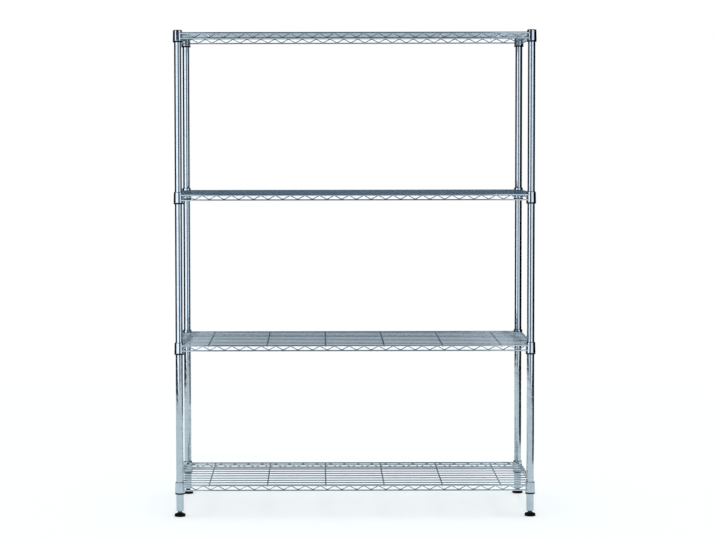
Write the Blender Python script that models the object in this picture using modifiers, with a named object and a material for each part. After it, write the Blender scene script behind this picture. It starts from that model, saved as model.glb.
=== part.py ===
"""Chrome wire shelving unit: four posts, four lift-off wire shelves on split sleeves, levelling feet.

Metres, +Z up. The origin is on the floor midway between the four posts, and -Y is the front.
Each shelf is a weldment: two end frames with the corner collars, a front and a rear truss, and a deck
of long wires on cross wires. Its tapered collars drop over tapered sleeves that grip the posts.
"""

from math import pi, radians

import bmesh
import bpy

# Posts: spacing is between post centres
POST_SPACING_X = 0.889
POST_SPACING_Y = 0.3302
POST_RADIUS = 0.009525
POST_WALL = 0.0012
POST_ABOVE_TOP_COLLAR = 0.0

# Shelf heights: the lowest collar's bottom edge, then whole grooves of the post from shelf to shelf
LOWEST_COLLAR_HEIGHT = 0.0601
GROOVE_PITCH = 0.0254
SHELF_NAMES = ("bottom_shelf", "lower_shelf", "upper_shelf", "top_shelf")
GROOVES_BELOW_SHELF = (0, 14, 15, 16)

# Corner collars and the split sleeves inside them
COLLAR_HEIGHT = 0.027
COLLAR_RADIUS_BOTTOM = 0.0127
COLLAR_RADIUS_TOP = 0.012
COLLAR_WALL = 0.001
SLEEVE_ABOVE_COLLAR = 0.0005
SLEEVE_BELOW_COLLAR = 0.0034
SLEEVE_SLIT = 0.0015

# Shelf wires
TOP_RAIL_DIAMETER = 0.0045
BOTTOM_RAIL_DIAMETER = 0.0038
SNAKE_DIAMETER = 0.0028
DECK_WIRE_DIAMETER = 0.003
CROSS_WIRE_DIAMETER = 0.0038
TOP_RAIL_BELOW_COLLAR_TOP = 0.0071
TRUSS_HEIGHT = 0.013
RAIL_OUTSIDE_POST_CENTRE = 0.0085
DECK_WIRES = 9
CROSS_WIRES = 6
LONG_SNAKE_BENDS = 24
SHORT_SNAKE_BENDS = 9

# Levelling feet: a moulded pad, a stud with a hexagon, and a threaded insert in the post
PAD_RADIUS = 0.0141
PAD_LOWER_EDGE = 0.0015
PAD_RIM_HEIGHT = 0.0042
PAD_SHOULDER_RADIUS = 0.0118
PAD_SHOULDER_HEIGHT = 0.0067
PAD_HEIGHT = 0.009
PAD_TOP_RADIUS = 0.007
PAD_FLOOR = 0.0025
HEX_ACROSS_FLATS = 0.011
HEX_HEIGHT = 0.0043
STUD_RADIUS = 0.004
STUD_IN_INSERT = 0.028
INSERT_LENGTH = 0.022

# Post caps
CAP_HEIGHT = 0.0012
CAP_EDGE_HEIGHT = 0.0004
CAP_DOME_RADIUS = 0.0057
CAP_DOME_HEIGHT = 0.0009
CAP_STEM_LENGTH = 0.012

# Fits and facets
CLEARANCE = 0.0003
WELD_OVERLAP = 0.0006
MERGE_DISTANCE = 0.000001
ROUND_SIDES = 12
RAIL_SIDES = 6
SNAKE_SIDES = 4
DECK_SIDES = 6
EDGE_DOWN = radians(180 / DECK_SIDES)
SMOOTH_ANGLE = radians(50)

CHROME_COLOUR = (0.72, 0.77, 0.83, 1.0)
ZINC_COLOUR = (0.08, 0.08, 0.085, 1.0)
BLACK_COLOUR = (0.02, 0.02, 0.022, 1.0)

# Heights within a shelf, measured up from its collars' bottom edge
top_rail_z = COLLAR_HEIGHT - TOP_RAIL_BELOW_COLLAR_TOP
bottom_rail_z = top_rail_z - TRUSS_HEIGHT
deck_z = top_rail_z + TOP_RAIL_DIAMETER / 2 - DECK_WIRE_DIAMETER / 2
cross_z = deck_z - DECK_WIRE_DIAMETER / 2 - CROSS_WIRE_DIAMETER / 2 + WELD_OVERLAP
end_rail_z = deck_z - DECK_WIRE_DIAMETER / 2 - CLEARANCE - TOP_RAIL_DIAMETER / 2

# Heights of the foot and the post, measured up from the floor
hex_bottom = PAD_HEIGHT + CLEARANCE
post_bottom = hex_bottom + HEX_HEIGHT + CLEARANCE
shelf_heights = [
    LOWEST_COLLAR_HEIGHT + GROOVE_PITCH * sum(GROOVES_BELOW_SHELF[: index + 1])
    for index in range(len(SHELF_NAMES))
]
post_top = shelf_heights[-1] + COLLAR_HEIGHT + POST_ABOVE_TOP_COLLAR

half_x = POST_SPACING_X / 2
half_y = POST_SPACING_Y / 2
rail_x = half_x + RAIL_OUTSIDE_POST_CENTRE
rail_y = half_y + RAIL_OUTSIDE_POST_CENTRE
bore_radius = POST_RADIUS - POST_WALL
CORNERS = {
    "front_left": (-half_x, -half_y),
    "front_right": (half_x, -half_y),
    "rear_left": (-half_x, half_y),
    "rear_right": (half_x, half_y),
}


def collection(name):
    made = bpy.data.collections.new(name)
    bpy.context.scene.collection.children.link(made)
    return made


def material(name, colour, metallic, roughness):
    made = bpy.data.materials.new(name)
    made.use_nodes = True
    shader = made.node_tree.nodes["Principled BSDF"]
    shader.inputs["Base Color"].default_value = colour
    shader.inputs["Metallic"].default_value = metallic
    shader.inputs["Roughness"].default_value = roughness
    return made


def helper(data):
    """An object that only shapes others. It goes once its mesh is taken."""
    made = bpy.data.objects.new("helper", data)
    cutters.objects.link(made)
    made.hide_render = True
    made.display_type = "WIRE"
    return made


def taken(obj):
    """The object's evaluated mesh, with loose caps welded. The object is removed."""
    graph = bpy.context.evaluated_depsgraph_get()
    mesh = bpy.data.meshes.new_from_object(obj.evaluated_get(graph))
    bpy.data.objects.remove(obj)
    shape = bmesh.new()
    shape.from_mesh(mesh)
    bmesh.ops.remove_doubles(shape, verts=shape.verts, dist=MERGE_DISTANCE)
    shape.to_mesh(mesh)
    shape.free()
    return mesh


def wires(paths, diameter, sides, tilt=0.0):
    """Round wires along straight-segment paths, as one mesh. The tilt turns their facets."""
    curve = bpy.data.curves.new("wires", "CURVE")
    curve.dimensions = "3D"
    curve.bevel_depth = diameter / 2
    curve.bevel_resolution = (sides - 4) // 2
    curve.use_fill_caps = True
    for path in paths:
        spline = curve.splines.new("POLY")
        spline.points.add(len(path) - 1)
        for point, place in zip(spline.points, path):
            point.co = (*place, 1)
            point.tilt = tilt
    return taken(helper(curve))


def rail(start, end, diameter):
    return wires([[start, end]], diameter, RAIL_SIDES)


def turned(profile, places=((0, 0),), closed=False):
    """A profile of (radius, height) points turned about an upright axis at each place.

    It runs down the outer side. An open profile starts and ends on the axis.
    """
    mesh = bpy.data.meshes.new("profile")
    last = len(profile) - 1
    edges = [(index, index + 1) for index in range(last)]
    if closed:
        edges.append((last, 0))
    mesh.from_pydata([(radius, 0, height) for radius, height in profile], edges, [])
    obj = helper(mesh)
    screw = obj.modifiers.new("turn", "SCREW")
    screw.axis = "Z"
    screw.angle = 2 * pi
    screw.steps = ROUND_SIDES
    screw.render_steps = ROUND_SIDES
    screw.use_merge_vertices = True
    screw.merge_threshold = MERGE_DISTANCE
    turned_mesh = taken(obj)
    copies = bmesh.new()
    for x, y in places:
        start = len(copies.verts)
        copies.from_mesh(turned_mesh)
        copies.verts.ensure_lookup_table()
        bmesh.ops.translate(copies, verts=copies.verts[start:], vec=(x, y, 0))
    copies.to_mesh(turned_mesh)
    copies.free()
    return turned_mesh


def combined(base, *steps):
    """The base mesh after each (operation, mesh) step."""
    for operation, other in steps:
        tool = helper(other)
        obj = helper(base)
        boolean = obj.modifiers.new(operation.lower(), "BOOLEAN")
        boolean.operation = operation
        boolean.solver = "EXACT"
        boolean.object = tool
        base = taken(obj)
        bpy.data.objects.remove(tool)
    return base


def finished(mesh, finish):
    mesh.materials.clear()
    mesh.materials.append(finish)
    mesh.shade_smooth()
    mesh.set_sharp_from_angle(angle=SMOOTH_ANGLE)
    return mesh


def placed(name, mesh, place, turn=0.0, parent=None):
    obj = bpy.data.objects.new(name, mesh)
    obj.location = place
    obj.rotation_euler.z = turn
    obj.parent = parent
    parts.objects.link(obj)
    return obj


def collar_radius(height):
    """Outer radius of a collar at a height above its bottom edge, also beyond its ends."""
    share = height / COLLAR_HEIGHT
    return COLLAR_RADIUS_BOTTOM + (COLLAR_RADIUS_TOP - COLLAR_RADIUS_BOTTOM) * share


def cone(low, high, offset):
    """Turned profile of a solid that follows the collar's taper at an offset from its outer face."""
    top = collar_radius(high) + offset
    bottom = collar_radius(low) + offset
    return [(0, high), (top, high), (bottom, low), (0, low)]


def snake_path(half_span, bends, high_z, rail_radius):
    """Points of a zigzag wire: along the rail, inward from the rail's axis, and up.

    The upper bends lie beside the upper rail. The two outer ones are pressed onto it, and the tails
    run from there into the lower rail.
    """
    pitch = 2 * half_span / bends
    first = -half_span + pitch / 2
    beside = rail_radius + SNAKE_DIAMETER / 2 + CLEARANCE
    welded = rail_radius + SNAKE_DIAMETER / 2 - WELD_OVERLAP
    tail = half_span - COLLAR_RADIUS_BOTTOM - SNAKE_DIAMETER / 2
    points = [(-tail, 0, bottom_rail_z)]
    for bend in range(bends):
        outer = bend in (0, bends - 1)
        along = first + bend * pitch
        points.append((along, welded if outer else beside, high_z))
        if bend < bends - 1:
            points.append((along + pitch / 2, beside, bottom_rail_z))
    points.append((tail, 0, bottom_rail_z))
    return points


def end_frame():
    """Left end of a shelf: two collars, the end rails between them and their zigzag wire."""
    along = [(-half_x, -half_y), (-half_x, half_y)]
    collars = turned(cone(0, COLLAR_HEIGHT, 0), along)
    bores = turned(cone(-COLLAR_HEIGHT, 2 * COLLAR_HEIGHT, -COLLAR_WALL), along)
    reach = half_y - POST_RADIUS / 2
    high = rail((-rail_x, -reach, end_rail_z), (-rail_x, reach, end_rail_z), TOP_RAIL_DIAMETER)
    low = rail((-rail_x, -reach, bottom_rail_z), (-rail_x, reach, bottom_rail_z), BOTTOM_RAIL_DIAMETER)
    bends = snake_path(half_y, SHORT_SNAKE_BENDS, end_rail_z, TOP_RAIL_DIAMETER / 2)
    snake = wires([[(-rail_x + inward, y, z) for y, inward, z in bends]], SNAKE_DIAMETER, SNAKE_SIDES)
    return combined(collars, ("UNION", high), ("UNION", low), ("UNION", snake), ("DIFFERENCE", bores))


def truss():
    """Front truss of a shelf: two rails, shaped to the collars at their ends, and a zigzag wire."""
    reach = half_x - POST_RADIUS / 2
    high = rail((-reach, -rail_y, top_rail_z), (reach, -rail_y, top_rail_z), TOP_RAIL_DIAMETER)
    low = rail((-reach, -rail_y, bottom_rail_z), (reach, -rail_y, bottom_rail_z), BOTTOM_RAIL_DIAMETER)
    bends = snake_path(half_x, LONG_SNAKE_BENDS, top_rail_z, TOP_RAIL_DIAMETER / 2)
    snake = wires([[(x, -rail_y + inward, z) for x, inward, z in bends]], SNAKE_DIAMETER, SNAKE_SIDES)
    along = [(-half_x, -half_y), (half_x, -half_y)]
    seats = turned(cone(-COLLAR_HEIGHT, 2 * COLLAR_HEIGHT, CLEARANCE), along)
    return combined(high, ("UNION", snake), ("UNION", low), ("DIFFERENCE", seats))


def deck():
    """Long wires that lie on the end rails, welded on cross wires that reach the front and rear rails."""
    length = rail_x + TOP_RAIL_DIAMETER / 2 - CLEARANCE
    depth = rail_y - TOP_RAIL_DIAMETER / 2 - CLEARANCE
    deck_pitch = 2 * rail_y / (DECK_WIRES + 1)
    cross_pitch = POST_SPACING_X / CROSS_WIRES
    long_paths = []
    for wire in range(DECK_WIRES):
        y = -rail_y + (wire + 1) * deck_pitch
        long_paths.append([(-length, y, deck_z), (length, y, deck_z)])
    cross_paths = []
    for wire in range(CROSS_WIRES):
        x = -half_x + (wire + 0.5) * cross_pitch
        cross_paths.append([(x, -depth, cross_z), (x, depth, cross_z)])
    long_wires = wires(long_paths, DECK_WIRE_DIAMETER, DECK_SIDES, EDGE_DOWN)
    cross_wires = wires(cross_paths, CROSS_WIRE_DIAMETER, DECK_SIDES, EDGE_DOWN)
    return combined(long_wires, ("UNION", cross_wires))


def sleeve():
    """Tapered split sleeve around a post, inside a collar, with its slit towards +X."""
    high = COLLAR_HEIGHT + SLEEVE_ABOVE_COLLAR
    low = -SLEEVE_BELOW_COLLAR
    inset = COLLAR_WALL + CLEARANCE
    inner = POST_RADIUS + CLEARANCE
    ring = turned(
        [
            (collar_radius(high) - inset, high),
            (collar_radius(low) - inset, low),
            (inner, low),
            (inner, high),
        ],
        closed=True,
    )
    slit = bpy.data.meshes.new("slit")
    shape = bmesh.new()
    bmesh.ops.create_cube(shape, size=1)
    bmesh.ops.scale(shape, verts=shape.verts, vec=(2 * COLLAR_RADIUS_BOTTOM, SLEEVE_SLIT, 3 * COLLAR_HEIGHT))
    bmesh.ops.translate(shape, verts=shape.verts, vec=(COLLAR_RADIUS_BOTTOM, 0, COLLAR_HEIGHT / 2))
    shape.to_mesh(slit)
    shape.free()
    return combined(ring, ("DIFFERENCE", slit))


def post():
    return turned(
        [
            (POST_RADIUS, post_top - post_bottom),
            (POST_RADIUS, 0),
            (bore_radius, 0),
            (bore_radius, post_top - post_bottom),
        ],
        closed=True,
    )


def cap():
    """Domed cap on a post's upper end, with a stem in its bore. Height 0 is the post's end."""
    stem = bore_radius - CLEARANCE
    return turned(
        [
            (0, CLEARANCE + CAP_HEIGHT),
            (CAP_DOME_RADIUS, CLEARANCE + CAP_DOME_HEIGHT),
            (POST_RADIUS, CLEARANCE + CAP_EDGE_HEIGHT),
            (POST_RADIUS, CLEARANCE),
            (stem, CLEARANCE),
            (stem, -CAP_STEM_LENGTH),
            (0, -CAP_STEM_LENGTH),
        ]
    )


def insert():
    """Threaded insert in a post's lower end, flush with it. Height 0 is the post's end."""
    thread = STUD_RADIUS + CLEARANCE
    body = bore_radius - CLEARANCE
    return turned([(body, INSERT_LENGTH), (body, 0), (thread, 0), (thread, INSERT_LENGTH)], closed=True)


def pad():
    """Moulded foot pad with a flat underside and a socket for the stud."""
    socket = STUD_RADIUS + CLEARANCE
    return turned(
        [
            (0, PAD_FLOOR),
            (socket, PAD_FLOOR),
            (socket, PAD_HEIGHT),
            (PAD_TOP_RADIUS, PAD_HEIGHT),
            (PAD_SHOULDER_RADIUS, PAD_SHOULDER_HEIGHT),
            (PAD_RADIUS, PAD_RIM_HEIGHT),
            (PAD_RADIUS, PAD_LOWER_EDGE),
            (PAD_RADIUS - PAD_LOWER_EDGE, 0),
            (0, 0),
        ]
    )


def stud():
    """Levelling stud: a hexagon for the spanner between the pad's socket and the insert's thread."""
    low = PAD_FLOOR + CLEARANCE
    high = post_bottom + STUD_IN_INSERT
    shank = turned([(0, high), (STUD_RADIUS, high), (STUD_RADIUS, low), (0, low)])
    hexagon = bpy.data.meshes.new("hexagon")
    shape = bmesh.new()
    corner = HEX_ACROSS_FLATS / 3**0.5
    bmesh.ops.create_cone(shape, cap_ends=True, segments=6, radius1=corner, radius2=corner, depth=HEX_HEIGHT)
    bmesh.ops.translate(shape, verts=shape.verts, vec=(0, 0, hex_bottom + HEX_HEIGHT / 2))
    shape.to_mesh(hexagon)
    shape.free()
    return combined(hexagon, ("UNION", shank))


def empty(name, place):
    made = bpy.data.objects.new(name, None)
    made.location = place
    parts.objects.link(made)
    return made


for old in list(bpy.data.objects):
    bpy.data.objects.remove(old)

parts = collection("wire_shelving_unit")
cutters = collection("cutters")

chrome = material("chrome", CHROME_COLOUR, 1.0, 0.12)
zinc = material("zinc", ZINC_COLOUR, 1.0, 0.35)
black_plastic = material("black_plastic", BLACK_COLOUR, 0.0, 0.45)

end_mesh = finished(end_frame(), chrome)
truss_mesh = finished(truss(), chrome)
deck_mesh = finished(deck(), chrome)
sleeve_mesh = finished(sleeve(), black_plastic)
post_mesh = finished(post(), chrome)
cap_mesh = finished(cap(), chrome)
insert_mesh = finished(insert(), zinc)
pad_mesh = finished(pad(), black_plastic)
stud_mesh = finished(stud(), zinc)

for corner, (x, y) in CORNERS.items():
    placed(f"post_{corner}", post_mesh, (x, y, post_bottom))
    placed(f"post_cap_{corner}", cap_mesh, (x, y, post_top))
    placed(f"post_insert_{corner}", insert_mesh, (x, y, post_bottom))
    foot = empty(f"foot_{corner}", (x, y, 0))
    placed(f"foot_pad_{corner}", pad_mesh, (0, 0, 0), parent=foot)
    placed(f"foot_stud_{corner}", stud_mesh, (0, 0, 0), parent=foot)

for shelf_name, height in zip(SHELF_NAMES, shelf_heights):
    shelf = empty(shelf_name, (0, 0, height))
    placed(f"{shelf_name}_left_end", end_mesh, (0, 0, 0), parent=shelf)
    placed(f"{shelf_name}_right_end", end_mesh, (0, 0, 0), pi, shelf)
    placed(f"{shelf_name}_front_truss", truss_mesh, (0, 0, 0), parent=shelf)
    placed(f"{shelf_name}_rear_truss", truss_mesh, (0, 0, 0), pi, shelf)
    placed(f"{shelf_name}_deck", deck_mesh, (0, 0, 0), parent=shelf)
    for corner, (x, y) in CORNERS.items():
        slit_turn = 0 if x < 0 else pi
        placed(f"{shelf_name}_sleeve_{corner}", sleeve_mesh, (x, y, height), slit_turn)
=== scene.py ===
"""Looks of the chrome wire shelving unit: turned tubes, bent and welded wire, moulded feet and a studio.

Metres, +Z up, and -Y is the front. Each piece stands for the solid of the same place and rides on its body.
"""

from math import atan2, cos, pi, radians, sin, sqrt

import bmesh
import bpy
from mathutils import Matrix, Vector


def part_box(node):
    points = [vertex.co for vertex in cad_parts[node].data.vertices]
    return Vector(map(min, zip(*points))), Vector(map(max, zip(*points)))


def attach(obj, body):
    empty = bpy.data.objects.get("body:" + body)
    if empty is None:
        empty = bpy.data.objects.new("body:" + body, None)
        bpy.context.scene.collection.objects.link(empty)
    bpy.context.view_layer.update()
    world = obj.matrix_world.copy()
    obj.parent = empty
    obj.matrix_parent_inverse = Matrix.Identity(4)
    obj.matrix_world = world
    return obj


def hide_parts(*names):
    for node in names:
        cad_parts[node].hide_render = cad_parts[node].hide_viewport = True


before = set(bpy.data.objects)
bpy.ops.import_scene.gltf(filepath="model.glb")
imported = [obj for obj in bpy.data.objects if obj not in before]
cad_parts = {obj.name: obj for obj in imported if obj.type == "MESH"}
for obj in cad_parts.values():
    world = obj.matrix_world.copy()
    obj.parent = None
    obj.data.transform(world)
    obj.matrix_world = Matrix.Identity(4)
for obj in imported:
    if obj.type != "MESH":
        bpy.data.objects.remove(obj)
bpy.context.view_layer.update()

CORNERS = ("front_left", "front_right", "rear_left", "rear_right")
SHELVES = ("bottom_shelf", "lower_shelf", "upper_shelf", "top_shelf")

# Posts and caps
POST_WALL = 0.0012
POST_END_ROUND = 0.0004
GROOVE_PITCH = 0.0254
GROOVE_DEPTH = 0.00018
GROOVE_HALF_WIDTH = 0.0004
CAP_EDGE_HEIGHT = 0.0004
CAP_STEM_LENGTH = 0.012

# Points across a groove: height and depth, as shares of its half width and depth
GROOVE_SHAPE = ((1, 0), (0.6, 0.6), (0, 1), (-0.6, 0.6), (-1, 0))

# Collars and sleeves
COLLAR_RADIUS_BOTTOM = 0.0127
COLLAR_RADIUS_TOP = 0.012
COLLAR_WALL = 0.001
COLLAR_LIP_ROUND = 0.0009
SLEEVE_INSET = 0.0003
SLEEVE_ROUND = 0.0004
SLEEVE_SLIT = 0.0015
SLEEVE_BEAD = 0.00045
SLEEVE_RIM_INSET = 0.0002

# Shelf wires, with heights above the collars' lower edge
TOP_RAIL_RADIUS = 0.00225
BOTTOM_RAIL_RADIUS = 0.0019
SNAKE_RADIUS = 0.00125
DECK_RADIUS = 0.00165
CROSS_RADIUS = 0.0019
TOP_RAIL_Z = 0.0199
BOTTOM_RAIL_Z = 0.0069
RAIL_OUTSIDE_POST = 0.0085
DECK_WIRES = 9
CROSS_WIRES = 6
LONG_SNAKE_BENDS = 24
SHORT_SNAKE_BENDS = 9
SNAKE_BEND_RADIUS = 0.004
WELD_SINK = 0.0003
WELD_BEAD_RADIUS = 0.00055

# Zigzag wire: its shift along the rails, and how far its ends and last bends stay from the posts' axes
SNAKE_SHIFT = 0.004
SNAKE_END = 0.0105
SNAKE_LAST_BEND = 0.0135

# Half sizes of weld nuggets, as shares of the wires' radii
WELD_LONG = 1.6
WELD_WIDE = 1.3
WELD_FULL = 1.1
WELD_THIN = 0.8
WELD_FLAT = 0.5

# Cut end of a wire: distance from the end and radius, as shares of the wire's radius
WIRE_END = ((0, 0.6), (0.12, 0.85), (0.4, 1))

# Levelling feet
PAD_EDGE_ROUND = 0.0015
PAD_RIM_HEIGHT = 0.0042
PAD_NECK_RADIUS = 0.007
PAD_FLOOR = 0.0025
PAD_PART_LINE = 0.00012
STUD_RADIUS = 0.004
THREAD_PITCH = 0.00125
THREAD_DEPTH = 0.0007
HEX_ACROSS_FLATS = 0.011
HEX_HEIGHT = 0.0043
HEX_CHAMFER = radians(30)
INSERT_CHAMFER = 0.0006
CLEARANCE = 0.0003

# Facets
POST_SIDES = 48
COLLAR_SIDES = 56
RAIL_SIDES = 20
WIRE_SIDES = 16
SNAKE_SIDES = 12
BEAD_SIDES = 6
BEND_STEPS = 7
THREAD_STEPS = 8
HEX_SIDES = 72
DOME_STEPS = 8
LIP_STEPS = 6
EDGE_STEPS = 3
PAD_EDGE_STEPS = 4
NUGGET_DETAIL = 2
FLOOR_SIDES = 128
SHARP_ANGLE = radians(40)
MERGE_DISTANCE = 0.000001

# Colours, linear
CHROME_TINT = (0.46, 0.54, 0.59, 1)
CHROME_TINT_DULL = (0.4, 0.475, 0.525, 1)
ZINC_BLACK = (0.035, 0.035, 0.04, 1)
ZINC_BROWN = (0.075, 0.065, 0.055, 1)
PLASTIC_BLACK = (0.002, 0.002, 0.0025, 1)
PLASTIC_WORN = (0.007, 0.007, 0.008, 1)
PLASTIC_SPECULAR = 0.06
FLOOR_COLOUR = (0.72, 0.78, 0.8, 1)

# Ranges of roughness
TUBE_ROUGHNESS = (0.05, 0.12)
WIRE_ROUGHNESS = (0.06, 0.14)
DECK_ROUGHNESS = (0.11, 0.19)
PLASTIC_ROUGHNESS = (0.28, 0.46)
ZINC_ROUGHNESS = (0.3, 0.5)

# Marks in a finish: scale and detail of their noise
SMUDGES = (60, 5)
PATCHES = (180, 4)
BLOTCHES = (420, 4)
PAPER_GRAIN = (300, 3)

# Bumps of a finish: scale of their noise, strength and height
TUBE_WAVES = (14, 0.5, 0.0001)
WIRE_WAVES = (60, 0.5, 0.00004)
PLASTIC_GRAIN = (2600, 0.35, 0.00006)
ZINC_PITS = (3200, 0.3, 0.00004)
BUMP_DETAIL = 2
NOISE_ROUGHNESS = 0.6

# Noise values at the ends of a range of roughness or of colour
ROUGHNESS_SPAN = (0.3, 0.7)
COLOUR_SPAN = (0.35, 0.7)

# Sockets of a mix node that carry colours
MIX_FIRST = 6
MIX_SECOND = 7
MIX_RESULT = 2

# Camera, for a picture of 716 by 540 pixels
CAMERA_PLACE = (-0.095, -5.385, 0.988)
CAMERA_PITCH = radians(2.973)
CAMERA_ROLL = radians(0.1)
CAMERA_LENS = 104.15
CAMERA_SHIFT_X = 0.0573
CAMERA_SHIFT_Y = -0.05
CAMERA_REACH = 100

# Studio
FLOOR_RADIUS = 2.7
FLOOR_DROP = 0.0002
FLOOR_LIFT = 0.41
FLOOR_PALER = 1.03
AMBIENT = 0.45
SUN_STRENGTH = 1.1
SUN_ANGLE = radians(28)
PAPER_WHITE = (1, 1, 1, 1)
LEFT_PANEL_WHITE = (1.86, 1.88, 1.97, 1)
RIGHT_PANEL_WHITE = (1.42, 1.44, 1.52, 1)
ROOM_BLACK = (0.0, 0.001, 0.004, 1)
ROOM_DARK = (0.003, 0.006, 0.045, 1)
ROOM_CEILING = (0.006, 0.045, 0.118, 1)
ROOM_SIDE = (0.012, 0.018, 0.03, 1)
ROOM_GREY = (0.4, 0.45, 0.52, 1)
OVERHEAD_WHITE = (0.36, 0.5, 0.58, 1)

# Soft edges of the walls' top and of the light overhead, as sines of the elevation
PAPER_TOP = (0.3, 0.45)
OVERHEAD_EDGE = (0.91, 0.985)

# Walls that the chrome reflects, by degrees from the front, positive to the right
ROOM_ROUND = (
    (-150, PAPER_WHITE),
    (-140, ROOM_SIDE),
    (-70, ROOM_SIDE),
    (-64, ROOM_DARK),
    (56, ROOM_DARK),
    (62, ROOM_GREY),
    (100, ROOM_GREY),
    (112, PAPER_WHITE),
)

# White panels in front, either side of the camera's view, as left, right, bottom and top
PANEL_Y = -1.57
PANELS = {
    "left_panel": (-3.2, -0.46, 0.12, 1.31),
    "left_panel_tall": (-2.9, -1.44, 1.31, 2.2),
    "right_panel": (0.47, 2.2, 0.12, 1.6),
}

# Black flag beside the unit's right end, as front, rear, bottom and top
FLAG_X = 0.95
FLAG = (-0.45, 0.8, 0.05, 1.4)

post_low, post_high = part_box("post_front_left")
post_radius = (post_high.x - post_low.x) / 2
bore_radius = post_radius - POST_WALL
half_x = -(post_low.x + post_high.x) / 2
half_y = -(post_low.y + post_high.y) / 2
rail_x = half_x + RAIL_OUTSIDE_POST
rail_y = half_y + RAIL_OUTSIDE_POST
corner_places = {
    "front_left": (-half_x, -half_y),
    "front_right": (half_x, -half_y),
    "rear_left": (-half_x, half_y),
    "rear_right": (half_x, half_y),
}
shelf_heights = {shelf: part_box(f"{shelf}_left_end")[0].z for shelf in SHELVES}
collar_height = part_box("bottom_shelf_left_end")[1].z - shelf_heights["bottom_shelf"]
sleeve_low, sleeve_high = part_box("bottom_shelf_sleeve_front_left")
sleeve_bottom = sleeve_low.z - shelf_heights["bottom_shelf"]
sleeve_top = sleeve_high.z - shelf_heights["bottom_shelf"]
deck_z = TOP_RAIL_Z + TOP_RAIL_RADIUS - DECK_RADIUS
cross_z = deck_z - DECK_RADIUS - CROSS_RADIUS + 2 * WELD_SINK
end_rail_z = deck_z - DECK_RADIUS - CLEARANCE - TOP_RAIL_RADIUS
pad_low, pad_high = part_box("foot_pad_front_left")
stud_low, stud_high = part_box("foot_stud_front_left")
hex_bottom = pad_high.z + CLEARANCE


# Shapes


def arc(centre, radius, start, end, steps):
    """(radius, height) points on an arc about a centre, from one angle in degrees to another."""
    points = []
    for step in range(steps + 1):
        angle = radians(start + (end - start) * step / steps)
        points.append((centre[0] + radius * cos(angle), centre[1] + radius * sin(angle)))
    return points


def lathe(shape, profile, sides, closed=False, start=0.0, sweep=2 * pi):
    """Turns (radius, height) points about Z, running down the outer side.

    The profile may be a function of the angle. A part turn gets flat ends.
    """
    whole = sweep >= 2 * pi
    rings = []
    poles = {}
    for step in range(sides if whole else sides + 1):
        angle = start + sweep * step / sides
        ring = []
        for index, (radius, height) in enumerate(profile(angle) if callable(profile) else profile):
            if radius == 0 and index not in poles:
                poles[index] = shape.verts.new((0, 0, height))
            place = (radius * cos(angle), radius * sin(angle), height)
            ring.append(poles[index] if radius == 0 else shape.verts.new(place))
        rings.append(ring)
    count = len(rings[0])
    following = rings[1:] + rings[:1] if whole else rings[1:]
    for ring, after in zip(rings, following):
        for index in range(count if closed else count - 1):
            low = (index + 1) % count
            corners = dict.fromkeys((ring[index], ring[low], after[low], after[index]))
            if len(corners) > 2:
                shape.faces.new(corners)
    if not whole:
        shape.faces.new(reversed(rings[0]))
        shape.faces.new(rings[-1])


def bridge(shape, rings, closed=False):
    """Faces between rings of points, and over both ends of an open run."""
    for ring, after in zip(rings, rings[1:] + rings[:1] if closed else rings[1:]):
        for index, vertex in enumerate(ring):
            beside = (index + 1) % len(ring)
            shape.faces.new((vertex, ring[beside], after[beside], after[index]))
    if not closed:
        shape.faces.new(reversed(rings[0]))
        shape.faces.new(rings[-1])


def tube(shape, path, radii, sides, closed=False):
    """A round wire along a path, with a radius for each point."""
    points = [Vector(point) for point in path]
    count = len(points)
    normal = None
    rings = []
    for index, (point, radius) in enumerate(zip(points, radii)):
        before = points[index - 1] if closed or index else point
        after = points[(index + 1) % count] if closed or index < count - 1 else point
        along = (after - before).normalized()
        if normal is None:
            normal = along.orthogonal()
        normal = (normal - along * normal.dot(along)).normalized()
        across = along.cross(normal)
        ring = []
        for side in range(sides):
            angle = 2 * pi * side / sides
            ring.append(shape.verts.new(point + radius * (cos(angle) * normal + sin(angle) * across)))
        rings.append(ring)
    bridge(shape, rings, closed)


def straight_wire(shape, start, end, radius, sides):
    """A straight cut wire whose ends are slightly rounded over by the plating."""
    start = Vector(start)
    end = Vector(end)
    along = (end - start).normalized() * radius
    path = [start + along * step for step, _ in WIRE_END]
    path += [end - along * step for step, _ in reversed(WIRE_END)]
    radii = [radius * share for _, share in WIRE_END]
    tube(shape, path, radii + radii[::-1], sides)


def rounded_path(points, bend_radius):
    """The points with an arc in place of each corner."""
    corners = [Vector(point) for point in points]
    path = [corners[0]]
    for before, corner, after in zip(corners, corners[1:], corners[2:]):
        back = (before - corner).normalized()
        ahead = (after - corner).normalized()
        half_angle = back.angle(ahead) / 2
        centre = corner + (back + ahead).normalized() * bend_radius / sin(half_angle)
        start = corner + back * bend_radius * cos(half_angle) / sin(half_angle) - centre
        axis = start.cross(ahead).normalized()
        turn = pi - 2 * half_angle
        side = axis.cross(start)
        for step in range(BEND_STEPS + 1):
            angle = turn * step / BEND_STEPS
            path.append(centre + start * cos(angle) + side * sin(angle))
    path.append(corners[-1])
    return path


def nugget(shape, place, size):
    """A smooth lump of weld metal under the plating."""
    made = bmesh.ops.create_icosphere(shape, subdivisions=NUGGET_DETAIL, radius=1)
    bmesh.ops.scale(shape, verts=made["verts"], vec=size)
    bmesh.ops.translate(shape, verts=made["verts"], vec=place)


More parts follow.
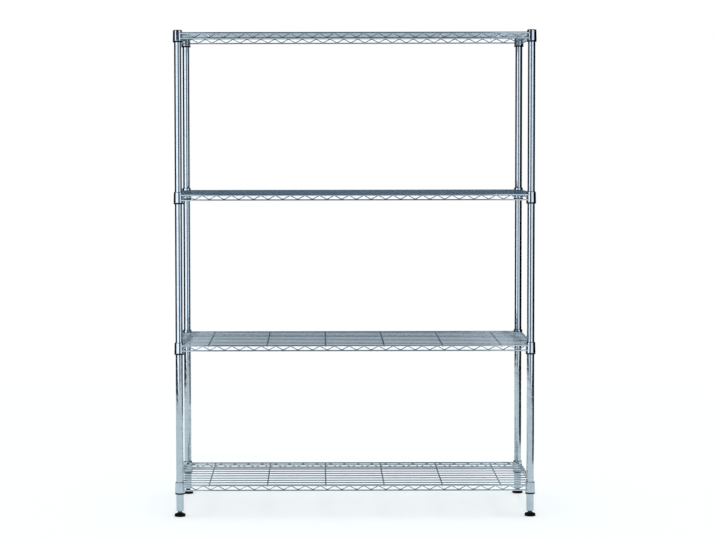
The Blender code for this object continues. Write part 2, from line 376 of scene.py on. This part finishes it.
def finished(name, shape, finish):
    """The shape as a mesh in its finish, smooth except at sharp edges."""
    bmesh.ops.remove_doubles(shape, verts=shape.verts, dist=MERGE_DISTANCE)
    bmesh.ops.recalc_face_normals(shape, faces=shape.faces)
    mesh = bpy.data.meshes.new(name)
    shape.to_mesh(mesh)
    shape.free()
    mesh.materials.append(finish)
    mesh.shade_smooth()
    mesh.set_sharp_from_angle(angle=SHARP_ANGLE)
    return mesh


def piece(name, mesh, place, body, node, turn=0.0):
    """One piece of the object at its place, riding on its body in place of its solid."""
    made = bpy.data.objects.new(name, mesh)
    made.location = place
    made.rotation_euler.z = turn
    bpy.context.scene.collection.objects.link(made)
    even = made.modifiers.new("even_shading", "WEIGHTED_NORMAL")
    even.keep_sharp = True
    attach(made, body)
    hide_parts(node)


# Turned parts


def collar_radius(height):
    """Outer radius of a collar at a height above its lower edge, also beyond its ends."""
    return COLLAR_RADIUS_BOTTOM + (COLLAR_RADIUS_TOP - COLLAR_RADIUS_BOTTOM) * height / collar_height


def post_mesh(finish):
    """Tube with rounded ends and a groove every inch for the sleeves. Height 0 is the floor."""
    shape = bmesh.new()
    profile = [(post_radius - POST_END_ROUND, post_high.z), (post_radius, post_high.z - POST_END_ROUND)]
    groove = shelf_heights["top_shelf"] + collar_height / 2
    while groove > post_low.z + GROOVE_PITCH / 2:
        for step, depth in GROOVE_SHAPE:
            profile.append((post_radius - GROOVE_DEPTH * depth, groove + GROOVE_HALF_WIDTH * step))
        groove -= GROOVE_PITCH
    profile += [(post_radius, post_low.z + POST_END_ROUND), (post_radius - POST_END_ROUND, post_low.z)]
    profile += [(bore_radius, post_low.z), (bore_radius, post_high.z)]
    lathe(shape, profile, POST_SIDES, closed=True)
    return finished("post_tube", shape, finish)


def cap_mesh(finish):
    """Domed cap with a rolled edge and a stem in the post's bore. Height 0 is the floor."""
    shape = bmesh.new()
    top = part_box("post_cap_front_left")[1].z
    base = post_high.z + CLEARANCE
    edge = base + CAP_EDGE_HEIGHT
    dome = top - edge
    profile = [(0, top)]
    for step in range(1, DOME_STEPS + 1):
        angle = radians(90 - 90 * step / DOME_STEPS)
        profile.append((post_radius * cos(angle), edge + dome * sin(angle)))
    roll = (post_radius - POST_END_ROUND, base + POST_END_ROUND)
    profile += arc(roll, POST_END_ROUND, 0, -90, EDGE_STEPS)
    stem = bore_radius - CLEARANCE
    profile += [(stem, base), (stem, base - CAP_STEM_LENGTH), (0, base - CAP_STEM_LENGTH)]
    lathe(shape, profile, POST_SIDES)
    return finished("post_cap_dome", shape, finish)


def add_collar(shape, place):
    """Tapered collar with a rounded lower edge and a rolled upper lip, at a place in the shelf."""
    edge = COLLAR_WALL / 2
    low = (collar_radius(CLEARANCE + edge) - edge, CLEARANCE + edge)
    high_z = collar_height - COLLAR_LIP_ROUND
    high = (collar_radius(high_z) - COLLAR_LIP_ROUND, high_z)
    profile = arc(low, edge, 0, -180, LIP_STEPS)
    profile.append((collar_radius(collar_height) - COLLAR_WALL, collar_height))
    profile += arc(high, COLLAR_LIP_ROUND, 90, 0, LIP_STEPS)
    start = len(shape.verts)
    lathe(shape, profile, COLLAR_SIDES, closed=True)
    shape.verts.ensure_lookup_table()
    bmesh.ops.translate(shape, verts=shape.verts[start:], vec=(*place, 0))


def sleeve_mesh(finish):
    """Two tapered half sleeves, each with a rim below the collar and a bead in the post's groove."""
    shape = bmesh.new()
    inner = post_radius + CLEARANCE
    round_over = SLEEVE_ROUND
    inset = COLLAR_WALL + SLEEVE_INSET
    rim = COLLAR_RADIUS_BOTTOM - SLEEVE_RIM_INSET
    low = (rim - round_over, sleeve_bottom + round_over)
    high = (collar_radius(sleeve_top) - inset - round_over, sleeve_top - round_over)
    middle = collar_height / 2
    profile = arc(high, round_over, 90, 0, EDGE_STEPS) + [(collar_radius(0) - inset, 0)]
    profile += [(rim - round_over, 0), (rim, -round_over)] + arc(low, round_over, 0, -90, EDGE_STEPS)
    profile += [(inner, sleeve_bottom), (inner, middle - GROOVE_HALF_WIDTH), (inner - SLEEVE_BEAD, middle)]
    profile += [(inner, middle + GROOVE_HALF_WIDTH), (inner, sleeve_top)]
    slit = SLEEVE_SLIT / 2 / inner
    for start in (slit, pi + slit):
        lathe(shape, profile, COLLAR_SIDES // 2, closed=True, start=start, sweep=pi - 2 * slit)
    return finished("split_sleeve", shape, finish)


def insert_mesh(finish):
    """Threaded insert in a post's lower end, with a countersunk bore. Height 0 is the floor."""
    shape = bmesh.new()
    low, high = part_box("post_insert_front_left")
    body = bore_radius - CLEARANCE
    bore = STUD_RADIUS + CLEARANCE
    profile = [(body, high.z), (body, low.z + INSERT_CHAMFER), (body - INSERT_CHAMFER, low.z)]
    profile += [(bore + INSERT_CHAMFER, low.z), (bore, low.z + INSERT_CHAMFER), (bore, high.z)]
    lathe(shape, profile, POST_SIDES, closed=True)
    return finished("threaded_insert", shape, finish)


def pad_mesh(finish):
    """Moulded foot pad: rounded rim with its parting line, domed shoulder and a socket for the stud."""
    shape = bmesh.new()
    radius = (pad_high.x - pad_low.x) / 2
    height = pad_high.z
    socket = STUD_RADIUS + CLEARANCE
    part_line = (PAD_RIM_HEIGHT + PAD_EDGE_ROUND) / 2
    profile = [(0, PAD_FLOOR), (socket, PAD_FLOOR)]
    profile += [(socket, height - CLEARANCE), (socket + CLEARANCE, height)]
    profile += [(PAD_NECK_RADIUS - CLEARANCE, height), (PAD_NECK_RADIUS, height - CLEARANCE)]
    reach = radius - PAD_NECK_RADIUS
    drop = height - CLEARANCE - PAD_RIM_HEIGHT
    for step in range(1, DOME_STEPS + 1):
        angle = radians(90 * step / DOME_STEPS)
        profile.append((PAD_NECK_RADIUS + reach * sin(angle), PAD_RIM_HEIGHT + drop * cos(angle)))
    for step in (1, 0, -1):
        depth = 0 if step else PAD_PART_LINE
        profile.append((radius - depth, part_line + step * PAD_PART_LINE))
    profile += arc((radius - PAD_EDGE_ROUND, PAD_EDGE_ROUND), PAD_EDGE_ROUND, 0, -90, PAD_EDGE_STEPS)
    profile.append((0, 0))
    lathe(shape, profile, POST_SIDES)
    return finished("foot_pad", shape, finish)


def stud_mesh(finish):
    """Levelling stud: plain foot, chamfered hexagon and a rolled right-hand thread."""
    shape = bmesh.new()
    hex_top = hex_bottom + HEX_HEIGHT
    root = STUD_RADIUS - THREAD_DEPTH
    sunk = root - WELD_SINK
    chamfer_radius = HEX_ACROSS_FLATS / 2

    def hexagon(angle):
        off_flat = (angle + pi / 6) % (pi / 3) - pi / 6
        outer = chamfer_radius / cos(off_flat)
        fall = (outer - chamfer_radius) * sin(HEX_CHAMFER) / cos(HEX_CHAMFER)
        rows = [(sunk, hex_top), (chamfer_radius, hex_top), (outer, hex_top - fall)]
        return rows + [(outer, hex_bottom + fall), (chamfer_radius, hex_bottom), (sunk, hex_bottom)]

    def thread(angle):
        rows = [(0, stud_high.z)]
        height = stud_high.z
        while height > hex_top:
            turn = height / THREAD_PITCH - angle / (2 * pi)
            ridge = THREAD_DEPTH * (0.5 - 0.5 * cos(2 * pi * turn))
            taper = min(1, (stud_high.z - height) / THREAD_PITCH)
            rows.append((root + ridge * taper, height))
            height -= THREAD_PITCH / THREAD_STEPS
        foot = [(STUD_RADIUS, hex_bottom), (STUD_RADIUS, stud_low.z), (0, stud_low.z)]
        return rows + [(root, hex_top), (root, hex_bottom)] + foot

    lathe(shape, hexagon, HEX_SIDES, closed=True)
    lathe(shape, thread, WIRE_SIDES * 2)
    return finished("levelling_stud", shape, finish)


# Wire work


def add_rail(shape, place, half_span, height, radius):
    """A rail between two collars, shaped to them at its ends and welded on with a bead."""
    rings = []
    for end in (-1, 1):
        ring = []
        seam = []
        for side in range(RAIL_SIDES):
            angle = 2 * pi * side / RAIL_SIDES
            out = RAIL_OUTSIDE_POST + radius * cos(angle)
            up = height + radius * sin(angle)
            reach = half_span - sqrt(collar_radius(up) ** 2 - out**2)
            ring.append(shape.verts.new(place(end * (reach + WELD_SINK), out, up)))
            seam.append(place(end * reach, out, up))
        rings.append(ring)
        tube(shape, seam, [WELD_BEAD_RADIUS] * RAIL_SIDES, BEAD_SIDES, closed=True)
    bridge(shape, rings)


def add_snake(shape, place, half_span, bends, high_rail_z):
    """The zigzag wire between two rails, welded to them at its bends and to the collars at its ends."""
    pitch = 2 * half_span / bends
    low_contact = BOTTOM_RAIL_RADIUS + SNAKE_RADIUS - WELD_SINK
    high_contact = TOP_RAIL_RADIUS + SNAKE_RADIUS - WELD_SINK
    low_depth = sqrt(low_contact**2 - BOTTOM_RAIL_RADIUS**2)
    high_depth = sqrt(high_contact**2 - TOP_RAIL_RADIUS**2)
    low = Vector((RAIL_OUTSIDE_POST - low_depth, BOTTOM_RAIL_Z + BOTTOM_RAIL_RADIUS))
    high = Vector((RAIL_OUTSIDE_POST - high_depth, high_rail_z - TOP_RAIL_RADIUS))
    low_weld = low + Vector((low_depth, -BOTTOM_RAIL_RADIUS)) * SNAKE_RADIUS / low_contact
    high_weld = high + Vector((high_depth, TOP_RAIL_RADIUS)) * SNAKE_RADIUS / high_contact
    slope = atan2(high.y - low.y, pitch / 2)
    sag = Vector((0, SNAKE_BEND_RADIUS * (1 / cos(slope) - 1)))
    end = half_span - SNAKE_END

    def at_end(along):
        turn = (along - SNAKE_SHIFT + half_span) / pitch % 1
        return (along, *low.lerp(high, 1 - abs(2 * turn - 1)))

    points = [at_end(-end)]
    welds = [at_end(SNAKE_RADIUS - end), at_end(end - SNAKE_RADIUS)]
    for bend in range(2 * bends + 1):
        along = -half_span + SNAKE_SHIFT + bend * pitch / 2
        if abs(along) > half_span - SNAKE_LAST_BEND:
            continue
        points.append((along, *(high + sag if bend % 2 else low - sag)))
        welds.append((along, *(high_weld if bend % 2 else low_weld)))
    points.append(at_end(end))
    path = [place(*point) for point in rounded_path(points, SNAKE_BEND_RADIUS)]
    tube(shape, path, [SNAKE_RADIUS] * len(path), SNAKE_SIDES)
    half_sizes = [share * SNAKE_RADIUS for share in (WELD_LONG, WELD_THIN, WELD_THIN)]
    weld = Vector(place(*half_sizes)) - Vector(place(0, 0, 0))
    for spot in welds:
        nugget(shape, place(*spot), [abs(side) for side in weld])


def end_frame_mesh(finish):
    """Left end of a shelf: two collars, the end rails and their zigzag wire."""
    shape = bmesh.new()

    def place(along, out, up):
        return (-half_x - out, along, up)

    for y in (-half_y, half_y):
        add_collar(shape, (-half_x, y))
    add_rail(shape, place, half_y, end_rail_z, TOP_RAIL_RADIUS)
    add_rail(shape, place, half_y, BOTTOM_RAIL_Z, BOTTOM_RAIL_RADIUS)
    add_snake(shape, place, half_y, SHORT_SNAKE_BENDS, end_rail_z)
    return finished("end_frame", shape, finish)


def truss_mesh(finish):
    """Front truss of a shelf: two rails and their zigzag wire."""
    shape = bmesh.new()

    def place(along, out, up):
        return (along, -half_y - out, up)

    add_rail(shape, place, half_x, TOP_RAIL_Z, TOP_RAIL_RADIUS)
    add_rail(shape, place, half_x, BOTTOM_RAIL_Z, BOTTOM_RAIL_RADIUS)
    add_snake(shape, place, half_x, LONG_SNAKE_BENDS, TOP_RAIL_Z)
    return finished("truss", shape, finish)


def deck_mesh(finish):
    """Long wires on cross wires, welded where they cross and where they meet the rails."""
    shape = bmesh.new()
    length = rail_x + TOP_RAIL_RADIUS - CLEARANCE
    depth = rail_y - TOP_RAIL_RADIUS + WELD_SINK
    deck_pitch = 2 * rail_y / (DECK_WIRES + 1)
    cross_pitch = 2 * half_x / CROSS_WIRES
    crossings = [-half_x + (wire + 0.5) * cross_pitch for wire in range(CROSS_WIRES)]
    across = (WELD_WIDE * CROSS_RADIUS, WELD_FULL * DECK_RADIUS, WELD_FLAT * DECK_RADIUS)
    ends = (WELD_FULL * TOP_RAIL_RADIUS, WELD_FULL * DECK_RADIUS, WELD_FLAT * DECK_RADIUS)
    butt = (WELD_FULL * CROSS_RADIUS, WELD_FLAT * CROSS_RADIUS, WELD_FULL * CROSS_RADIUS)
    for wire in range(DECK_WIRES):
        y = -rail_y + (wire + 1) * deck_pitch
        straight_wire(shape, (-length, y, deck_z), (length, y, deck_z), DECK_RADIUS, WIRE_SIDES)
        for x in crossings:
            nugget(shape, (x, y, deck_z - DECK_RADIUS), across)
        for x in (-rail_x, rail_x):
            nugget(shape, (x, y, deck_z - DECK_RADIUS), ends)
    for x in crossings:
        straight_wire(shape, (x, -depth, cross_z), (x, depth, cross_z), CROSS_RADIUS, WIRE_SIDES)
        for y in (-depth, depth):
            nugget(shape, (x, y, cross_z), butt)
    return finished("deck", shape, finish)


# Finishes


def add_node(tree, kind, inputs=None, **settings):
    """A shader node with its settings and with values or links on its inputs."""
    made = tree.nodes.new(kind)
    for name, value in settings.items():
        setattr(made, name, value)
    for key, value in (inputs or {}).items():
        if isinstance(value, bpy.types.NodeSocket):
            tree.links.new(value, made.inputs[key])
        else:
            made.inputs[key].default_value = value
    return made


def shifted_coordinates(tree):
    """Object coordinates in metres, shifted for each object so that no two pieces share their marks."""
    place = add_node(tree, "ShaderNodeTexCoord").outputs["Object"]
    chance = add_node(tree, "ShaderNodeObjectInfo").outputs["Random"]
    return add_node(tree, "ShaderNodeVectorMath", {0: place, 1: chance}, operation="ADD").outputs[0]


def noise(tree, place, scale, detail):
    """A noise value between 0 and 1."""
    inputs = {"Vector": place, "Scale": scale, "Detail": detail, "Roughness": NOISE_ROUGHNESS}
    return add_node(tree, "ShaderNodeTexNoise", inputs).outputs["Fac"]


def spread(tree, value, low, high):
    """A noise value spread over a range."""
    first, last = ROUGHNESS_SPAN
    inputs = {"Value": value, "From Min": first, "From Max": last, "To Min": low, "To Max": high}
    return add_node(tree, "ShaderNodeMapRange", inputs).outputs["Result"]


def between(tree, value, first, second):
    """A colour between two, by a noise value."""
    ramp = add_node(tree, "ShaderNodeValToRGB", {"Fac": value})
    low, high = ramp.color_ramp.elements
    low.position, high.position = COLOUR_SPAN
    low.color = first
    high.color = second
    return ramp.outputs["Color"]


def new_finish(name, metallic):
    """A material with its node tree and its shader."""
    made = bpy.data.materials.new(name)
    made.use_nodes = True
    shader = made.node_tree.nodes["Principled BSDF"]
    shader.inputs["Metallic"].default_value = metallic
    return made, made.node_tree, shader


def add_marks(tree, shader, place, marks, colours, roughness):
    """Marks that change the colour and the roughness together."""
    value = noise(tree, place, *marks)
    tree.links.new(between(tree, value, *colours), shader.inputs["Base Color"])
    tree.links.new(spread(tree, value, *roughness), shader.inputs["Roughness"])


def add_bumps(tree, shader, place, scale, strength, height):
    """Bumps that show in the light and the reflections."""
    value = noise(tree, place, scale, BUMP_DETAIL)
    bump = add_node(tree, "ShaderNodeBump", {"Height": value, "Strength": strength, "Distance": height})
    tree.links.new(bump.outputs["Normal"], shader.inputs["Normal"])


def chrome_finish(name, roughness, waves):
    """Bright chrome plate: bluish, with faint smudges in the polish and slight waves under the plating."""
    made, tree, shader = new_finish(name, metallic=1.0)
    place = shifted_coordinates(tree)
    add_marks(tree, shader, place, SMUDGES, (CHROME_TINT, CHROME_TINT_DULL), roughness)
    add_bumps(tree, shader, place, *waves)
    return made


def plastic_finish():
    """Black moulded plastic: fine grain, with slightly greyer worn patches."""
    made, tree, shader = new_finish("black_plastic", metallic=0.0)
    place = shifted_coordinates(tree)
    add_marks(tree, shader, place, PATCHES, (PLASTIC_BLACK, PLASTIC_WORN), PLASTIC_ROUGHNESS)
    add_bumps(tree, shader, place, *PLASTIC_GRAIN)
    shader.inputs["Specular IOR Level"].default_value = PLASTIC_SPECULAR
    return made


def zinc_finish():
    """Black zinc plate on steel, browner where it is thin."""
    made, tree, shader = new_finish("black_zinc", metallic=1.0)
    place = shifted_coordinates(tree)
    add_marks(tree, shader, place, BLOTCHES, (ZINC_BLACK, ZINC_BROWN), ZINC_ROUGHNESS)
    add_bumps(tree, shader, place, *ZINC_PITS)
    return made


# Studio


def calculated(tree, operation, first, second):
    """One step of arithmetic on two values."""
    return add_node(tree, "ShaderNodeMath", {0: first, 1: second}, operation=operation).outputs[0]


def share_between(tree, value, low, high):
    """Where a value stands between two others, from 0 to 1."""
    inputs = {"Value": value, "From Min": low, "From Max": high}
    return add_node(tree, "ShaderNodeMapRange", inputs).outputs["Result"]


def mixed_colour(tree, share, first, second):
    """A mix of two colours, all the second one at a share of 1."""
    inputs = {0: share, MIX_FIRST: first, MIX_SECOND: second}
    return add_node(tree, "ShaderNodeMix", inputs, data_type="RGBA").outputs[MIX_RESULT]


def ray_kinds(tree):
    """Whether a ray comes from the camera, and whether it was mirrored or went through glass."""
    rays = add_node(tree, "ShaderNodeLightPath").outputs
    mirrored = calculated(tree, "MAXIMUM", rays["Is Glossy Ray"], rays["Is Transmission Ray"])
    return rays["Is Camera Ray"], mirrored


def bare_material(name):
    """A material with an empty node tree."""
    made = bpy.data.materials.new(name)
    made.use_nodes = True
    made.node_tree.nodes.clear()
    return made, made.node_tree


def studio_object(name, shape, finish):
    """A piece of the studio, in its finish."""
    mesh = bpy.data.meshes.new(name)
    shape.to_mesh(mesh)
    shape.free()
    mesh.materials.append(finish)
    made = bpy.data.objects.new(name, mesh)
    bpy.context.scene.collection.objects.link(made)
    return made


def studio_floor():
    """Round pale floor that keeps the shadow, lifted to white for the camera and in reflections."""
    shape = bmesh.new()
    bmesh.ops.create_circle(shape, cap_ends=True, segments=FLOOR_SIDES, radius=FLOOR_RADIUS)
    bmesh.ops.translate(shape, verts=shape.verts, vec=(0, 0, -FLOOR_DROP))
    finish, tree = bare_material("pale_floor")
    grain = noise(tree, add_node(tree, "ShaderNodeTexCoord").outputs["Object"], *PAPER_GRAIN)
    paler = [min(1, value * FLOOR_PALER) for value in FLOOR_COLOUR]
    matte = add_node(tree, "ShaderNodeBsdfDiffuse", {"Color": between(tree, grain, FLOOR_COLOUR, paler)})
    from_camera, mirrored = ray_kinds(tree)
    seen = calculated(tree, "MAXIMUM", from_camera, mirrored)
    lift = calculated(tree, "MULTIPLY", seen, FLOOR_LIFT)
    glow = add_node(tree, "ShaderNodeEmission", {"Strength": lift})
    both = add_node(tree, "ShaderNodeAddShader", {0: matte.outputs[0], 1: glow.outputs[0]})
    add_node(tree, "ShaderNodeOutputMaterial", {"Surface": both.outputs[0]})
    floor = studio_object("floor", shape, finish)


def studio_world():
    """White behind the unit, soft light all round, and a room with a dark front that shows in reflections."""
    world = bpy.data.worlds.new("studio")
    world.use_nodes = True
    tree = world.node_tree
    tree.nodes.clear()
    direction = add_node(tree, "ShaderNodeTexCoord").outputs["Generated"]
    axes = add_node(tree, "ShaderNodeSeparateXYZ", {0: direction}).outputs
    ahead = calculated(tree, "MULTIPLY", axes["Y"], -1)
    azimuth = calculated(tree, "ARCTAN2", axes["X"], ahead)
    walls = add_node(tree, "ShaderNodeValToRGB", {"Fac": share_between(tree, azimuth, -pi, pi)})
    stops = walls.color_ramp.elements
    stops[0].color = PAPER_WHITE
    stops[1].color = PAPER_WHITE
    for degrees, colour in ROOM_ROUND:
        stops.new((degrees + 180) / 360).color = colour
    above_walls = share_between(tree, axes["Z"], *PAPER_TOP)
    covered = mixed_colour(tree, above_walls, walls.outputs["Color"], ROOM_CEILING)
    overhead = share_between(tree, axes["Z"], *OVERHEAD_EDGE)
    reflected = mixed_colour(tree, overhead, covered, OVERHEAD_WHITE)
    room = add_node(tree, "ShaderNodeBackground", {"Color": reflected})
    light = add_node(tree, "ShaderNodeBackground", {"Color": PAPER_WHITE, "Strength": AMBIENT})
    white = add_node(tree, "ShaderNodeBackground", {"Color": PAPER_WHITE})
    from_camera, mirrored = ray_kinds(tree)
    lit = add_node(tree, "ShaderNodeMixShader", {0: mirrored, 1: light.outputs[0], 2: room.outputs[0]})
    shown = add_node(tree, "ShaderNodeMixShader", {0: from_camera, 1: lit.outputs[0], 2: white.outputs[0]})
    add_node(tree, "ShaderNodeOutputWorld", {"Surface": shown.outputs[0]})
    bpy.context.scene.world = world


def studio_card(name, corners, colour):
    """A flat card outside the picture that shows only in reflections."""
    shape = bmesh.new()
    shape.faces.new([shape.verts.new(corner) for corner in corners])
    finish, tree = bare_material(name)
    glow = add_node(tree, "ShaderNodeEmission", {"Color": colour})
    add_node(tree, "ShaderNodeOutputMaterial", {"Surface": glow.outputs[0]})
    card = studio_object(name, shape, finish)
    card.visible_camera = False
    card.visible_diffuse = False
    card.visible_shadow = False


def studio_cards():
    """White panels in front and a black flag on the right."""
    for name, (left, right, bottom, top) in PANELS.items():
        corners = ((left, bottom), (right, bottom), (right, top), (left, top))
        white = LEFT_PANEL_WHITE if left < 0 else RIGHT_PANEL_WHITE
        studio_card(name, [(x, PANEL_Y, z) for x, z in corners], white)
    front, rear, bottom, top = FLAG
    corners = ((front, bottom), (rear, bottom), (rear, top), (front, top))
    studio_card("right_flag", [(FLAG_X, y, z) for y, z in corners], ROOM_BLACK)


def studio_sun():
    """Broad soft light from straight above, which draws the faint shadow under the unit."""
    lamp = bpy.data.lights.new("overhead", "SUN")
    lamp.energy = SUN_STRENGTH
    lamp.angle = SUN_ANGLE
    made = bpy.data.objects.new("overhead", lamp)
    made.visible_glossy = False
    bpy.context.scene.collection.objects.link(made)


def studio_camera():
    """A long lens in front, pitched slightly down."""
    data = bpy.data.cameras.new("camera")
    data.lens = CAMERA_LENS
    data.shift_x = CAMERA_SHIFT_X
    data.shift_y = CAMERA_SHIFT_Y
    data.clip_end = CAMERA_REACH
    made = bpy.data.objects.new("camera", data)
    made.location = CAMERA_PLACE
    made.rotation_euler = (radians(90) - CAMERA_PITCH, CAMERA_ROLL, 0)
    bpy.context.scene.collection.objects.link(made)
    bpy.context.scene.camera = made


# Assembly

tube_chrome = chrome_finish("tube_chrome", TUBE_ROUGHNESS, TUBE_WAVES)
wire_chrome = chrome_finish("wire_chrome", WIRE_ROUGHNESS, WIRE_WAVES)
deck_chrome = chrome_finish("deck_chrome", DECK_ROUGHNESS, WIRE_WAVES)
black_plastic = plastic_finish()
black_zinc = zinc_finish()

post = post_mesh(tube_chrome)
cap = cap_mesh(tube_chrome)
insert = insert_mesh(black_zinc)
pad = pad_mesh(black_plastic)
stud = stud_mesh(black_zinc)
sleeve = sleeve_mesh(black_plastic)
end_frame = end_frame_mesh(wire_chrome)
truss = truss_mesh(wire_chrome)
deck = deck_mesh(deck_chrome)

for corner in CORNERS:
    x, y = corner_places[corner]
    piece(f"grooved_post_{corner}", post, (x, y, 0), "frame", f"post_{corner}")
    piece(f"domed_cap_{corner}", cap, (x, y, 0), "frame", f"post_cap_{corner}")
    piece(f"threaded_insert_{corner}", insert, (x, y, 0), "frame", f"post_insert_{corner}")
    pad_node = f"foot_pad_{corner}"
    stud_node = f"foot_stud_{corner}"
    piece(f"moulded_pad_{corner}", pad, (x, y, 0), pad_node, pad_node)
    piece(f"levelling_stud_{corner}", stud, (x, y, 0), stud_node, stud_node)

for shelf in SHELVES:
    height = shelf_heights[shelf]
    place = (0, 0, height)
    piece(f"{shelf}_left_frame", end_frame, place, shelf, f"{shelf}_left_end")
    piece(f"{shelf}_right_frame", end_frame, place, shelf, f"{shelf}_right_end", pi)
    piece(f"{shelf}_front_rails", truss, place, shelf, f"{shelf}_front_truss")
    piece(f"{shelf}_rear_rails", truss, place, shelf, f"{shelf}_rear_truss", pi)
    piece(f"{shelf}_wire_deck", deck, place, shelf, f"{shelf}_deck")
    for corner in CORNERS:
        sleeve_place = (*corner_places[corner], height)
        sleeve_node = f"{shelf}_sleeve_{corner}"
        piece(f"{shelf}_split_sleeve_{corner}", sleeve, sleeve_place, "frame", sleeve_node)

studio_floor()
studio_world()
studio_cards()
studio_camera()
studio_sun()

bpy.context.scene.view_settings.view_transform = "Standard"
